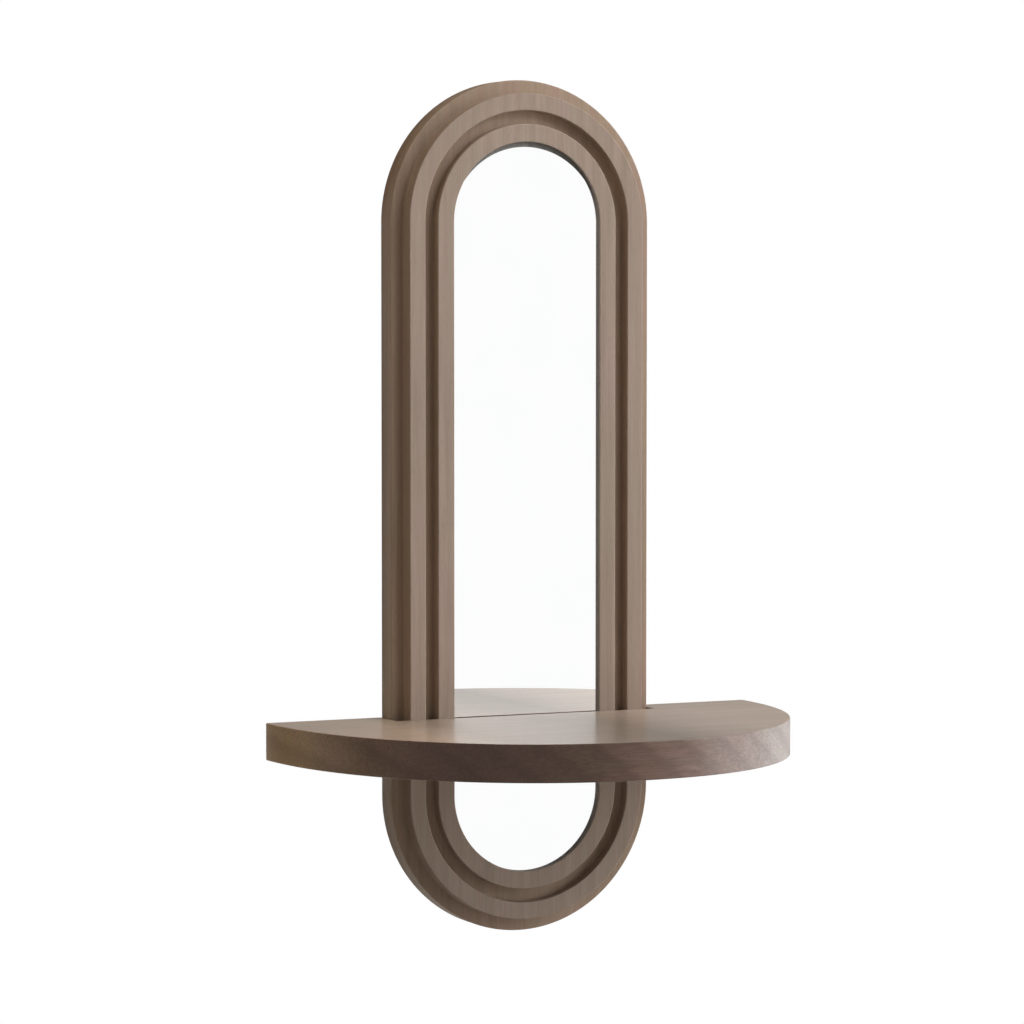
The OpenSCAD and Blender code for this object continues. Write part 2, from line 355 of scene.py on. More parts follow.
def moulding_tree():
    """Sweeps a section round an upright outline with half-round ends."""
    tree, given = new_tree("moulding", [
        ("Section", "Object"), ("Outline radius", "Float"), ("Straight length", "Float"), ("Step", "Float"),
        ("Arch steps", "Int"), ("Corner steps", "Int"), ("Wood", "Material")])
    circle = add_node(tree, "GeometryNodeCurvePrimitiveCircle",
                      {"Resolution": given["Arch steps"], "Radius": given["Outline radius"]}, mode="RADIUS")

    # The circle's halves move apart by the straight length. A point between them goes with the upper.
    place = add_node(tree, "GeometryNodeInputPosition").outputs[0]
    height = add_node(tree, "ShaderNodeSeparateXYZ", {0: place}).outputs["Y"]
    half = add_math(tree, "SIGN", add_math(tree, "ADD", height, next_to_nothing))
    rise = add_math(tree, "MULTIPLY", half, add_math(tree, "MULTIPLY", given["Straight length"], 0.5))
    apart = add_node(tree, "ShaderNodeCombineXYZ", {"Y": rise}).outputs[0]
    outline = add_node(tree, "GeometryNodeSetPosition", {"Geometry": circle.outputs[0], "Offset": apart})
    path = add_node(tree, "GeometryNodeResampleCurve",
                    {"Curve": outline.outputs[0], "Length": given["Step"]}, mode="LENGTH")
    drawn = add_node(tree, "GeometryNodeObjectInfo", {"Object": given["Section"]})
    corner = add_node(tree, "GeometryNodeInputRadius").outputs[0]
    rounded = add_node(tree, "GeometryNodeFilletCurve", {
        "Curve": drawn.outputs["Geometry"], "Count": given["Corner steps"], "Radius": corner}, mode="POLY")
    swept = add_node(tree, "GeometryNodeCurveToMesh",
                     {"Curve": path.outputs[0], "Profile Curve": rounded.outputs[0]})
    finish_tree(tree, swept.outputs[0], given["Wood"])
    return tree


def grown(name, tree, **values):
    """Plain mesh object of what a geometry tree makes. Each input is set by its socket's identifier."""
    source = bpy.data.objects.new(name, bpy.data.meshes.new(name))
    scene_objects.link(source)
    modifier = source.modifiers.new(tree.name, "NODES")
    modifier.node_group = tree
    for item in tree.interface.items_tree:
        if item.in_out == "INPUT":
            modifier[item.identifier] = values[item.name.lower().replace(" ", "_")]
    return baked(source)


def baked(source):
    """Plain mesh object of what an object's modifiers make, under the same name."""
    name = source.name
    bpy.context.view_layer.update()
    evaluated = source.evaluated_get(bpy.context.evaluated_depsgraph_get())
    data = bpy.data.meshes.new_from_object(evaluated)
    bpy.data.objects.remove(source)
    data.name = name
    made = bpy.data.objects.new(name, data)
    scene_objects.link(made)
    return made


def arc(centre, radius, start, end, steps):
    """Points of an arc, from one angle in degrees to another."""
    angles = [math.radians(start + (end - start) * step / steps) for step in range(steps + 1)]
    return [(centre[0] + radius * math.cos(a), centre[1] + radius * math.sin(a)) for a in angles]


def round_ended(radius, low, high, steps):
    """Upright outline with a half-round end at each of two heights."""
    return arc((0, high), radius, 0, 180, steps) + arc((0, low), radius, 180, 360, steps)


def disc(centre, radius, steps):
    """Outline of a circle."""
    return arc(centre, radius, 0, 360, steps)[:-1]


def slab(name, outline, levels, materials=(), bands=None, place=upright):
    """Closed solid: an outline at each level, drawn in by its inset.

    bands gives the material of the first face, of each ring of walls, and of the last face.
    """
    corners = [Vector(point) for point in outline]

    # How each corner moves for an inset of one, so that every side moves in by the same
    moves = []
    for before, here, after in zip(corners[-1:] + corners[:-1], corners, corners[1:] + corners[:1]):
        first = (here - before).normalized()
        second = (after - here).normalized()
        inwards = Vector((-first.y - second.y, first.x + second.x))
        moves.append(inwards / (1 + first.dot(second)))

    shape = bmesh.new()
    loops = [[shape.verts.new((*(corner + move * inset), height)) for corner, move in zip(corners, moves)]
             for height, inset in levels]
    bands = bands or [0] * (len(levels) + 1)
    shape.faces.new(loops[0][::-1]).material_index = bands[0]
    for band, lower, upper in zip(bands[1:], loops, loops[1:]):
        for a, b, c, d in zip(lower, lower[1:] + lower[:1], upper[1:] + upper[:1], upper):
            shape.faces.new((a, b, c, d)).material_index = band
    shape.faces.new(loops[-1]).material_index = bands[-1]
    shape.transform(place)
    data = bpy.data.meshes.new(name)
    shape.to_mesh(data)
    shape.free()
    for material in materials:
        data.materials.append(material)
    made = bpy.data.objects.new(name, data)
    scene_objects.link(made)
    return made


def cut(piece, *cutters):
    """Takes the cutters' shapes out of a piece. The cutters are removed."""
    for cutter in cutters:
        modifier = piece.modifiers.new(cutter.name, "BOOLEAN")
        modifier.operation = "DIFFERENCE"
        modifier.solver = "EXACT"
        modifier.object = cutter
    made = baked(piece)
    for cutter in cutters:
        bpy.data.objects.remove(cutter)

    # Where a cutter's level lies in a face of the piece, the cut leaves faces of no width
    joined = bmesh.new()
    joined.from_mesh(made.data)
    bmesh.ops.remove_doubles(joined, verts=joined.verts, dist=no_width)
    joined.to_mesh(made.data)
    joined.free()
    return made


def hand_over(piece, slot, *nodes, sharp_from=sharp_angle):
    """Shades a finished piece, and has it stand for its CAD nodes."""
    for polygon in piece.data.polygons:
        polygon.use_smooth = True
    piece.data.set_sharp_from_angle(angle=sharp_from)
    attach(piece, "root")
    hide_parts(*nodes)


section_points = [(radius - edge_radius, -depth, corner) for radius, depth, corner in reversed(section)]
drawn_section = poly_curve("board_section", section_points)
board = grown("frame_board", moulding_tree(), section=drawn_section, outline_radius=edge_radius,
              straight_length=arch_high - arch_low, step=sweep_step, arch_steps=arch_steps,
              corner_steps=break_steps, wood=frame_wood)
bpy.data.objects.remove(drawn_section)
board.data.transform(Matrix.Translation((0, 0, (arch_high + arch_low) / 2)) @ upright)

# The lip's inner face is coloured darker as painted shade, so that it hardly shows in the mirror
lip_index = len(board.data.materials)
board.data.materials.append(lip_wood)
face_slack = 0.0001
for polygon in board.data.polygons:
    place = polygon.center
    past_arch = place.z - min(max(place.z, arch_low), arch_high)
    from_middle = math.hypot(place.x, past_arch)
    if from_middle < opening_radius + face_slack and -place.y < board_thickness - ring_break:
        polygon.material_index = lip_index

# Behind, the board has a shallow bed for the keyhole plate, a deeper pocket for the wall screw's
# head, countersunk holes for the shelf's two screws, and plain ones for the plate's two
overrun = 0.001
shelf_low, shelf_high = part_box("shelf")
plate_low, plate_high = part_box("hanger_plate")
plate_middle = (plate_low.z + plate_high.z) / 2
plate_radius = (plate_high.z - plate_low.z) / 2
plate_run = plate_high.x - plate_low.x - 2 * plate_radius
plate_thickness = -plate_low.y
pocket_radius = 0.0048
pocket_low = 0.00045
pocket_high = 0.0031
head_room = 0.0052
pocket_steps = 24
hole_steps = 32
plate_end_steps = 32
fit_gap = 0.00002
shelf_screw_x = (ledge_radius + groove_outer) / 2
shelf_screw_z = (shelf_low.z + shelf_high.z) / 2
shelf_screw = {"length": 0.032, "shank": 0.0035, "head": 0.0066, "plain": board_thickness}
plate_screw_x = 0.0135
plate_shank = 0.0026
plate_screw = {"length": 0.010, "shank": plate_shank, "head": 0.0048,
               "plain": plate_thickness + plate_shank}
core_share = 0.72


def plate_outline(radius):
    """Level outline of the keyhole plate or of its bed, with two half-round ends."""
    return (arc((plate_run / 2, plate_middle), radius, -90, 90, plate_end_steps)
            + arc((-plate_run / 2, plate_middle), radius, 90, 270, plate_end_steps))


def screw_hole(name, x, z, length, shank, head, plain):
    """Cutter for one countersunk hole, with a narrower run for the thread."""
    core = shank * core_share
    sink = (head - shank) / 2
    levels = [(-overrun, 0), (0, 0), (sink, sink), (plain, sink),
              (plain + fit_gap, (head - core) / 2), (length, (head - core) / 2)]
    return slab(name, disc((x, z), head / 2 + fit_gap, hole_steps), levels)


board = cut(board,
            slab("plate_bed", plate_outline(plate_radius + fit_gap),
                 [(-overrun, 0), (plate_thickness, 0)]),
            screw_hole("shelf_hole_left", -shelf_screw_x, shelf_screw_z, **shelf_screw),
            screw_hole("shelf_hole_right", shelf_screw_x, shelf_screw_z, **shelf_screw))
board = cut(board,
            slab("head_pocket", round_ended(pocket_radius, pocket_low, pocket_high, pocket_steps),
                 [(-overrun, 0), (plate_thickness + head_room, 0)]),
            screw_hole("plate_hole_left", -plate_screw_x, plate_middle, **plate_screw),
            screw_hole("plate_hole_right", plate_screw_x, plate_middle, **plate_screw))
hand_over(board, "frame_wood", "frame", sharp_from=board_sharp_angle)


# Shelf: one board sawn to a half-oval and notched to slip round the frame, stained as the frame is
# and varnished glossier. Its grain runs along its width, so both tips of the edge are end grain. The edge
# is paler at the tips partly from the grain and partly as painted light, dark left of the middle as painted
# shade, and the top carries painted shade.
shelf_width = shelf_high.x - shelf_low.x
shelf_depth = -shelf_low.y
shelf_straight = 0.0016
shelf_corner = 0.0012
shelf_curve_power = 2.08
shelf_curve_steps = 144
shelf_rim = 0.0004
rim_steps = 3
shelf_corner_steps = 6
notch_gap = 0.0003
notch_half = edge_radius + notch_gap
grain_along_x = (0, math.radians(90), 0)


def shelf_share(tree, place):
    """Place along the shelf's width: 0 at its left tip and 1 at its right."""
    across = add_node(tree, "ShaderNodeSeparateXYZ", {0: place}).outputs["X"]
    return add_range(tree, across, -shelf_width / 2, shelf_width / 2)


def top_painted_shade(tree, place):
    """Painted shade: the shelf's top is coloured darker in its middle, in front of the frame and mirror,
    than towards both ends.
    """
    return add_ramp(tree, shelf_share(tree, place), [
        (0.0, (0.81, 0.80, 0.78)), (0.18, (0.90, 0.90, 0.88)), (0.27, (0.60, 0.61, 0.62)),
        (0.36, (0.57, 0.60, 0.63)), (0.5, (0.44, 0.45, 0.455)), (0.58, (0.44, 0.455, 0.46)),
        (0.7, (0.83, 0.87, 0.93)), (0.8, (0.96, 1.01, 1.08)), (1.0, (0.98, 1.03, 1.08))])


def edge_grain_and_painted_light(tree, place):
    """The edge's colour: paler end grain at both tips and darker long grain, with painted light and shade:
    darkest left of the middle, and a pale grey painted sheen at the right tip.
    """
    return add_ramp(tree, shelf_share(tree, place), [
        (0.0, (0.80, 0.62, 0.40)), (0.01, (0.84, 0.70, 0.47)), (0.03, (0.65, 0.54, 0.43)),
        (0.07, (0.37, 0.29, 0.23)), (0.13, (0.22, 0.14, 0.11)), (0.2, (0.17, 0.108, 0.085)),
        (0.4, (0.175, 0.12, 0.09)), (0.5, (0.285, 0.20, 0.16)), (0.7, (0.44, 0.36, 0.33)),
        (0.8, (0.76, 0.76, 0.75)), (1.0, (0.96, 0.97, 0.97))])


# The shelf's top carries painted shade, and its edge paler end grain with painted light and shade
shelf_wood = stained_wood("shelf_wood", light=srgb(183, 163, 146), dark=srgb(175, 155, 138),
                          rings_per_metre=(60, 90, 0), specular=0.2, coat=0.48,
                          grain_turn=grain_along_x, along=top_painted_shade)
shelf_edge_wood = stained_wood("shelf_edge_wood", light=srgb(208, 199, 197), dark=srgb(178, 169, 167),
                               rings_per_metre=(70, 0, -54), specular=0.1, coat=0.4,
                               grain_turn=grain_along_x, ring_depth=0.22, pore_depth=0.35,
                               fibre_share=0.8, along=edge_grain_and_painted_light)


def shelf_point(angle):
    """Point of the shelf's rounded front at an angle, where 180 is the left tip and 360 the right."""
    across = math.cos(math.radians(angle))
    forward = abs(math.sin(math.radians(angle)))
    return (math.copysign(abs(across) ** (2 / shelf_curve_power), across) * shelf_width / 2,
            -shelf_straight - (shelf_depth - shelf_straight) * forward ** (2 / shelf_curve_power))


corner_x = shelf_width / 2 - shelf_corner
front = [shelf_point(180 + 180 * step / shelf_curve_steps) for step in range(shelf_curve_steps + 1)]
notch = [(notch_half, 0), (notch_half, -board_thickness),
         (-notch_half, -board_thickness), (-notch_half, 0)]
shelf_outline = (arc((-corner_x, -shelf_corner), shelf_corner, 90, 180, shelf_corner_steps) + front
                 + arc((corner_x, -shelf_corner), shelf_corner, 0, 90, shelf_corner_steps) + notch)

# Each rim is a quarter circle: how far each step lies from the flat face, and how far in
rim = [(shelf_rim * (1 - math.sin(turn)), shelf_rim * (1 - math.cos(turn)))
       for turn in (math.pi / 2 * step / rim_steps for step in range(rim_steps + 1))]
shelf_levels = ([(shelf_low.z + rise, inset) for rise, inset in rim[::-1]]
                + [(shelf_high.z - rise, inset) for rise, inset in rim])

# The first step of each rim still has the look of the flat face beside it, and the rest the edge's
shelf_materials = (shelf_wood, shelf_edge_wood)
flat, edge = range(len(shelf_materials))
shelf_bands = [flat, flat] + [edge] * (2 * rim_steps - 1) + [flat, flat]
shelf = slab("shelf_board", shelf_outline, shelf_levels, shelf_materials, shelf_bands, place=Matrix())
shelf = cut(shelf,
            screw_hole("thread_hole_left", -shelf_screw_x, shelf_screw_z, **shelf_screw),
            screw_hole("thread_hole_right", shelf_screw_x, shelf_screw_z, **shelf_screw))
hand_over(shelf, "shelf_wood", "shelf")


# Mirror: a pane of 3 mm float glass, silvered behind and sealed with grey paint, its edge ground
# and seamed. It lies in the rabbet against the lip. The silver stops short of the rim, and is drawn
# lower at the top, so that a grey crescent of the border shows under the arch as painted shade.
glass_low, glass_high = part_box("mirror_glass")
glass_radius = (glass_high.x - glass_low.x) / 2
glass_seam = 0.0004
silver_overlap = 0.0010
shade_crescent_drop = 0.0030
pane_steps = 96
haze_span = (0.5, 0.75)

# Patterns on the pane: how often each repeats in a metre
haze_scale = (40, 40, 40)
scratch_scale = (900, 6000, 900)
peel_scale = (700, 700, 700)
paint_cloud_scale = (30, 30, 30)
speck_scale = (600, 600, 600)


def silver_face():
    """Silvered glass seen from the front: nearly perfect, with a trace of haze."""
    material, tree = new_material("mirror_silver")
    place = add_node(tree, "ShaderNodeTexCoord").outputs["Object"]
    haze = add_noise(tree, place, haze_scale, detail=3.0).outputs["Fac"]
    greenish = (0.965, 0.975, 0.97)
    clear = (0.975, 0.98, 0.975)
    colour = mix_colours(tree, add_range(tree, haze, *narrow_span), greenish, clear)
    finish_material(tree, {"Base Color": colour, "Metallic": 1.0,
                           "Roughness": add_range(tree, haze, *haze_span, to_low=0.0, to_high=0.015)})
    return material


def ground_glass():
    """The pane's ground rim: dull sea green, finely scratched round the edge."""
    material, tree = new_material("mirror_rim")
    place = add_node(tree, "ShaderNodeTexCoord").outputs["Object"]
    scratch = add_noise(tree, place, scratch_scale).outputs["Fac"]
    sea_green = srgb(120, 158, 146)
    pale_green = srgb(172, 198, 188)
    colour = mix_colours(tree, add_range(tree, scratch, *wide_span), sea_green, pale_green)
    bump = add_node(tree, "ShaderNodeBump", {"Height": scratch, "Strength": 0.5, "Distance": 0.00003})
    finish_material(tree, {
        "Base Color": colour, "Roughness": add_range(tree, scratch, *wide_span, to_low=0.5, to_high=0.3),
        "Normal": bump.outputs[0]})
    return material


def backing_paint():
    """Grey sealing paint on the silver, rolled on with a faint orange peel."""
    material, tree = new_material("mirror_backing")
    place = add_node(tree, "ShaderNodeTexCoord").outputs["Object"]
    peel = add_noise(tree, place, peel_scale).outputs["Fac"]
    cloud = add_noise(tree, place, paint_cloud_scale, detail=3.0).outputs["Fac"]
    dark_paint = srgb(108, 113, 117)
    light_paint = srgb(124, 128, 131)
    colour = mix_colours(tree, add_range(tree, cloud, *wide_span), dark_paint, light_paint)
    bump = add_node(tree, "ShaderNodeBump", {"Height": peel, "Strength": 0.3, "Distance": 0.00004})
    finish_material(tree, {
        "Base Color": colour, "Roughness": add_range(tree, peel, *wide_span, to_low=0.5, to_high=0.38),
        "Normal": bump.outputs[0]})
    return material


def border_and_painted_shade():
    """Border of the pane beyond the silver: clear glass over grey paint. Under the top of the arch it shows
    as painted shade.
    """
    material, tree = new_material("mirror_border")
    place = add_node(tree, "ShaderNodeTexCoord").outputs["Object"]
    speck = add_noise(tree, place, speck_scale).outputs["Fac"]
    dark_grey = srgb(112, 110, 108)
    light_grey = srgb(126, 124, 121)
    colour = mix_colours(tree, add_range(tree, speck, *narrow_span), dark_grey, light_grey)
    finish_material(tree, {
        "Base Color": colour, "Roughness": add_range(tree, speck, *wide_span, to_low=0.25, to_high=0.4),
        "Specular IOR Level": 0.2})
    return material


glass_levels = [(-glass_high.y, glass_seam), (-glass_high.y + glass_seam, 0),
                (-glass_low.y - glass_seam, 0), (-glass_low.y, glass_seam)]
pane_materials = (silver_face(), ground_glass(), backing_paint(), border_and_painted_shade())
silver, rim_glass, paint, border = range(len(pane_materials))
pane = slab("mirror_pane", round_ended(glass_radius, arch_low, arch_high, pane_steps), glass_levels,
            pane_materials, [paint, rim_glass, rim_glass, rim_glass, border])

# The silver's outline is drawn on the front face, which becomes the silver and the border round it
# At the top the silver is drawn lower, so the grey border shows under the arch as painted shade
silver_outline = round_ended(opening_radius + silver_overlap, arch_low, arch_high - shade_crescent_drop, pane_steps)
shape = bmesh.new()
shape.from_mesh(pane.data)
face = next(each for each in shape.faces if each.material_index == border)
outer = list(face.verts)
bmesh.ops.delete(shape, geom=[face], context="FACES_ONLY")
inner = [shape.verts.new((x, glass_low.y, z)) for x, z in silver_outline]
for a, b, c, d in zip(outer, outer[1:] + outer[:1], inner[1:] + inner[:1], inner):
    shape.faces.new((a, b, c, d)).material_index = border
shape.faces.new(inner).material_index = silver
shape.to_mesh(pane.data)
shape.free()
hand_over(pane, "mirror", "mirror_glass")


# Foam sheet and back panel: a sheet of white foam cushions the glass, and a 3 mm hardboard panel
# with the mark of a wire screen closes the rabbet. Both lie loose under the points.
sheet_break = 0.0002
wire_pitch = 0.0014
weave_depth = 0.35

# Cells of the foam and fibres of the panel: how often each pattern repeats in a metre
foam_cell_scale = 900.0
pulp_scale = (1300, 1300, 1300)
pulp_cloud_scale = (26, 26, 26)


def foam_white():
    """Closed-cell foam: soft white, with fine cells."""
    material, tree = new_material("foam_white")
    place = add_node(tree, "ShaderNodeTexCoord").outputs["Object"]
    cells = add_node(tree, "ShaderNodeTexVoronoi", {"Vector": place, "Scale": foam_cell_scale})
    cell = cells.outputs["Distance"]
    soft_white = srgb(238, 238, 234)
    shaded_white = srgb(216, 216, 211)
    colour = mix_colours(tree, add_range(tree, cell, 0.1, 0.7), soft_white, shaded_white)
    bump = add_node(tree, "ShaderNodeBump", {"Height": cell, "Strength": 0.6, "Distance": 0.00015})
    finish_material(tree, {
        "Base Color": colour, "Roughness": add_range(tree, cell, 0.0, 0.8, to_low=0.7, to_high=0.9),
        "Normal": bump.outputs[0]})
    return material


def hardboard():
    """Pressed wood fibre: mottled brown, with the mark of the wire screen that it was pressed on."""
    material, tree = new_material("hardboard")
    place = add_node(tree, "ShaderNodeTexCoord").outputs["Object"]
    fibre = add_noise(tree, place, pulp_scale, detail=4.0, roughness=0.6).outputs["Fac"]
    cloud = add_noise(tree, place, pulp_cloud_scale, detail=3.0).outputs["Fac"]
    dark_fibre = srgb(102, 74, 50)
    light_fibre = srgb(138, 102, 72)
    colour = mix_colours(tree, add_range(tree, fibre, *wide_span), dark_fibre, light_fibre)
    shade = mix_colours(tree, add_range(tree, cloud, *wide_span), (0.93, 0.93, 0.93), (1.05, 1.05, 1.05))
    colour = mix_colours(tree, 1.0, colour, shade, "MULTIPLY")
    wires = []
    for axis in ("X", "Z"):
        along = add_node(tree, "ShaderNodeSeparateXYZ", {0: place}).outputs[axis]
        wires.append(add_math(tree, "SINE", add_math(tree, "MULTIPLY", along, 2 * math.pi / wire_pitch)))
    weave = add_math(tree, "MULTIPLY", *wires)
    height = add_math(tree, "ADD", add_math(tree, "MULTIPLY", weave, weave_depth), fibre)
    bump = add_node(tree, "ShaderNodeBump", {"Height": height, "Strength": 0.7, "Distance": 0.00012})
    finish_material(tree, {
        "Base Color": colour, "Roughness": add_range(tree, fibre, *wide_span, to_low=0.85, to_high=0.7),
        "Normal": bump.outputs[0]})
    return material


for name, node, slot, material in (("foam_bed", "foam_sheet", "foam", foam_white()),
                                   ("hardboard_panel", "back_panel", "hardboard", hardboard())):
    low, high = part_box(node)
    radius = (high.x - low.x) / 2
    sheet_levels = [(-high.y, sheet_break), (-high.y + sheet_break, 0),
                    (-low.y - sheet_break, 0), (-low.y, sheet_break)]
    sheet = slab(name, round_ended(radius, arch_low, arch_high, pane_steps), sheet_levels, (material,))
    hand_over(sheet, slot, node)


# Retaining points: eight flat steel points, punched from strip and driven into the rabbet's wall,
# two on each side and two in each arch. Their square tails lie on the panel and hold it in.
point_half = 0.0025
point_bite = 0.006
point_length = 0.011
point_pitch = 0.110
point_break = 0.00008

# The steel's rolling lines and its cloudiness: how often each repeats in a metre
rolling_scale = (2500, 2500, 300)
zinc_cloud_scale = (160, 160, 160)


def zinc_steel():
    """Zinc-plated steel: bright and slightly cloudy, with fine rolling lines."""
    material, tree = new_material("zinc_steel")
    place = add_node(tree, "ShaderNodeTexCoord").outputs["Object"]
    lines = add_noise(tree, place, rolling_scale).outputs["Fac"]
    cloud = add_noise(tree, place, zinc_cloud_scale, detail=3.0).outputs["Fac"]
    blue_zinc = (0.50, 0.51, 0.53)
    warm_zinc = (0.66, 0.655, 0.63)
    colour = mix_colours(tree, add_range(tree, cloud, *wide_span), blue_zinc, warm_zinc)
    bump = add_node(tree, "ShaderNodeBump", {"Height": lines, "Strength": 0.2, "Distance": 0.00002})
    finish_material(tree, {
        "Base Color": colour, "Roughness": add_range(tree, cloud, *wide_span, to_low=0.28, to_high=0.42),
        "Metallic": 1.0, "Normal": bump.outputs[0]})
    return material


steel = zinc_steel()
point_low, point_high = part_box("retaining_point_1")
point_back = -point_high.y
point_front = -point_low.y
board_middle = (arch_high + arch_low) / 2
point_levels = [(point_back, point_break), (point_back + point_break, 0),
                (point_front - point_break, 0), (point_front, point_break)]
point_tail = point_bite - point_length
point_shoulder = point_bite - point_half
point_outline = [(point_tail, -point_half), (point_shoulder, -point_half), (point_bite, 0),
                 (point_shoulder, point_half), (point_tail, point_half)]

# Each point's turn from the right-hand side, in degrees, and the height that it turns about
pair_heights = (board_middle + point_pitch / 2, board_middle - point_pitch / 2)
side_places = [(turn, height) for turn in (180, 0) for height in pair_heights]
arch_places = [(135, arch_high), (45, arch_high), (-135, arch_low), (-45, arch_low)]
for number, (turn, height) in enumerate(side_places + arch_places, start=1):
    stand = (Matrix.Translation((0, 0, height)) @ upright @ Matrix.Rotation(math.radians(turn), 4, "Z")
             @ Matrix.Translation((rabbet_radius, 0, 0)))
    point = slab(f"point_{number}", point_outline, point_levels, (steel,), place=stand)
    hand_over(point, "steel", f"retaining_point_{number}")


# Hanger plate: a round-ended steel plate let in flush with the back, stamped with a keyhole: the
# wall screw's head goes in at the round entry and slides up the slot as the mirror drops.
entry_radius = 0.0039
slot_radius = 0.0020
slot_rise = 0.0040
plate_break = 0.00015
disc_steps = 48
hanger_levels = [(0, plate_break), (plate_break, 0),
                 (plate_thickness - plate_break, 0), (plate_thickness, plate_break)]
hanger = slab("keyhole_plate", plate_outline(plate_radius), hanger_levels, (steel,))
through_plate = [(-overrun, 0), (plate_thickness + overrun, 0)]
hanger = cut(hanger,
             slab("keyhole_entry", disc((0, 0), entry_radius, disc_steps), through_plate),
             screw_hole("plate_sink_left", -plate_screw_x, plate_middle, **plate_screw),
             screw_hole("plate_sink_right", plate_screw_x, plate_middle, **plate_screw))
hanger = cut(hanger,
             slab("keyhole_slot", round_ended(slot_radius, 0, slot_rise, pocket_steps), through_plate))
hand_over(hanger, "steel", "hanger_plate")


# Screws: two long ones go from the back of the frame into the shelf, and two short ones hold the
# keyhole plate. Each is turned from steel wire, with a cross recess and a rolled thread.
def thread_tree():
    """Winds a thread: a ridge of four-sided section on a spiral."""
    tree, given = new_tree("thread", [
        ("Radius", "Float"), ("Length", "Float"), ("Turns", "Float"), ("Ridge", "Float"),
        ("Steps", "Int"), ("Steel", "Material")])
    spiral = add_node(tree, "GeometryNodeCurveSpiral", {
        "Resolution": given["Steps"], "Rotations": given["Turns"], "Start Radius": given["Radius"],
        "End Radius": given["Radius"], "Height": given["Length"]})
    level = add_node(tree, "GeometryNodeSetCurveNormal", {0: spiral.outputs[0]}, mode="Z_UP")
    four_sided = {"Resolution": 4, "Radius": given["Ridge"]}
    ridge = add_node(tree, "GeometryNodeCurvePrimitiveCircle", four_sided, mode="RADIUS")
    wound = add_node(tree, "GeometryNodeCurveToMesh", {
        "Curve": level.outputs[0], "Profile Curve": ridge.outputs[0], "Fill Caps": True})
    finish_tree(tree, wound.outputs[0], given["Steel"])
    return tree


thread = thread_tree()
thread_steps = 16

# Shares of the shank's thickness, of the core's, of the head's and of the countersink's depth. The
# cross narrows by a share of its arm's half width.
tip_share = 1.2
pitch_share = 0.42
point_share = 0.12
cross_share = 0.62
cross_width_share = 0.16
cross_depth_share = 0.7
shoulder_share = 0.25
cross_draft_share = 1 / 3


def wood_screw(name, x, z, length, shank, head, plain):
    """One countersunk screw along the depth, its head in the plane of the back."""
    core = shank * core_share
    sink = (head - shank) / 2
    tip = shank * tip_share
    shoulder = plain + sink * shoulder_share
    turned = slab(name, disc((x, z), head / 2, hole_steps), [
        (0, 0), (sink, sink), (plain, sink), (shoulder, (head - core) / 2),
        (length - tip, (head - core) / 2), (length, (head - core * point_share) / 2)], (steel,))
    arm = head * cross_share / 2
    half = head * cross_width_share / 2
    cross = [(arm, -half), (arm, half), (half, half), (half, arm), (-half, arm), (-half, half),
             (-arm, half), (-arm, -half), (-half, -half), (-half, -arm), (half, -arm), (half, -half)]
    outline = [(x + across, z + up) for across, up in cross]
    cross_levels = [(-overrun, 0), (sink * cross_depth_share, half * cross_draft_share)]
    turned = cut(turned, slab("cross", outline, cross_levels))

    # The thread is wound on the core, and becomes one piece with the turned screw
    run = length - tip - plain
    ridge = grown("thread", thread, radius=core / 2, length=run, turns=run / (shank * pitch_share),
                  ridge=(shank - core) / 2, steps=thread_steps, steel=steel)
    ridge.data.transform(upright @ Matrix.Translation((x, z, plain)))
    whole = bmesh.new()
    whole.from_mesh(turned.data)
    whole.from_mesh(ridge.data)
    whole.to_mesh(turned.data)
    whole.free()
    bpy.data.objects.remove(ridge)
    return turned


for side, sign in (("left", -1), ("right", 1)):
    hand_over(wood_screw(f"shelf_screw_turned_{side}", sign * shelf_screw_x, shelf_screw_z, **shelf_screw),
              "steel", f"shelf_screw_{side}")
    hand_over(wood_screw(f"hanger_screw_turned_{side}", sign * plate_screw_x, plate_middle, **plate_screw),
              "steel", f"hanger_screw_{side}")


# Wall pads: four discs of dark felt, cut with a punch and stuck on the back, so that the frame
# stands a little off the wall and doesn't mark it.
pad_count = 4
pad_rounding = 0.0002
matted_share = 0.65

# The felt's hairs and its cloudiness: how often each repeats in a metre
matted_scale = (1800, 1800, 1800)
felt_cloud_scale = (300, 300, 300)


def dark_felt():
    """Pressed felt: matted dark brown fibre, with a soft surface."""
    material, tree = new_material("dark_felt")
    place = add_node(tree, "ShaderNodeTexCoord").outputs["Object"]
    matted = add_noise(tree, place, matted_scale, detail=5.0, roughness=0.7).outputs["Fac"]
    cloud = add_noise(tree, place, felt_cloud_scale).outputs["Fac"]
    level = add_math(tree, "ADD", add_math(tree, "MULTIPLY", matted, matted_share),
                     add_math(tree, "MULTIPLY", cloud, 1.0 - matted_share))
    dark_wool = srgb(58, 52, 47)
    light_wool = srgb(96, 88, 80)
    colour = mix_colours(tree, add_range(tree, level, *narrow_span), dark_wool, light_wool)
    bump = add_node(tree, "ShaderNodeBump", {"Height": level, "Strength": 0.9, "Distance": 0.00025})
    finish_material(tree, {
        "Base Color": colour, "Roughness": add_range(tree, level, *wide_span, to_low=0.98, to_high=0.88),
        "Normal": bump.outputs[0], "Sheen Weight": 0.25})
    return material


felt = dark_felt()
for number in range(1, pad_count + 1):
    low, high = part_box(f"felt_pad_{number}")
    radius = (high.x - low.x) / 2
    centre = ((low.x + high.x) / 2, (low.z + high.z) / 2)
    pad_levels = [(-high.y, pad_rounding), (-high.y + pad_rounding, 0), (-low.y, 0)]
    pad = slab(f"wall_pad_{number}", disc(centre, radius, disc_steps), pad_levels, (felt,))
    hand_over(pad, "felt", f"felt_pad_{number}")


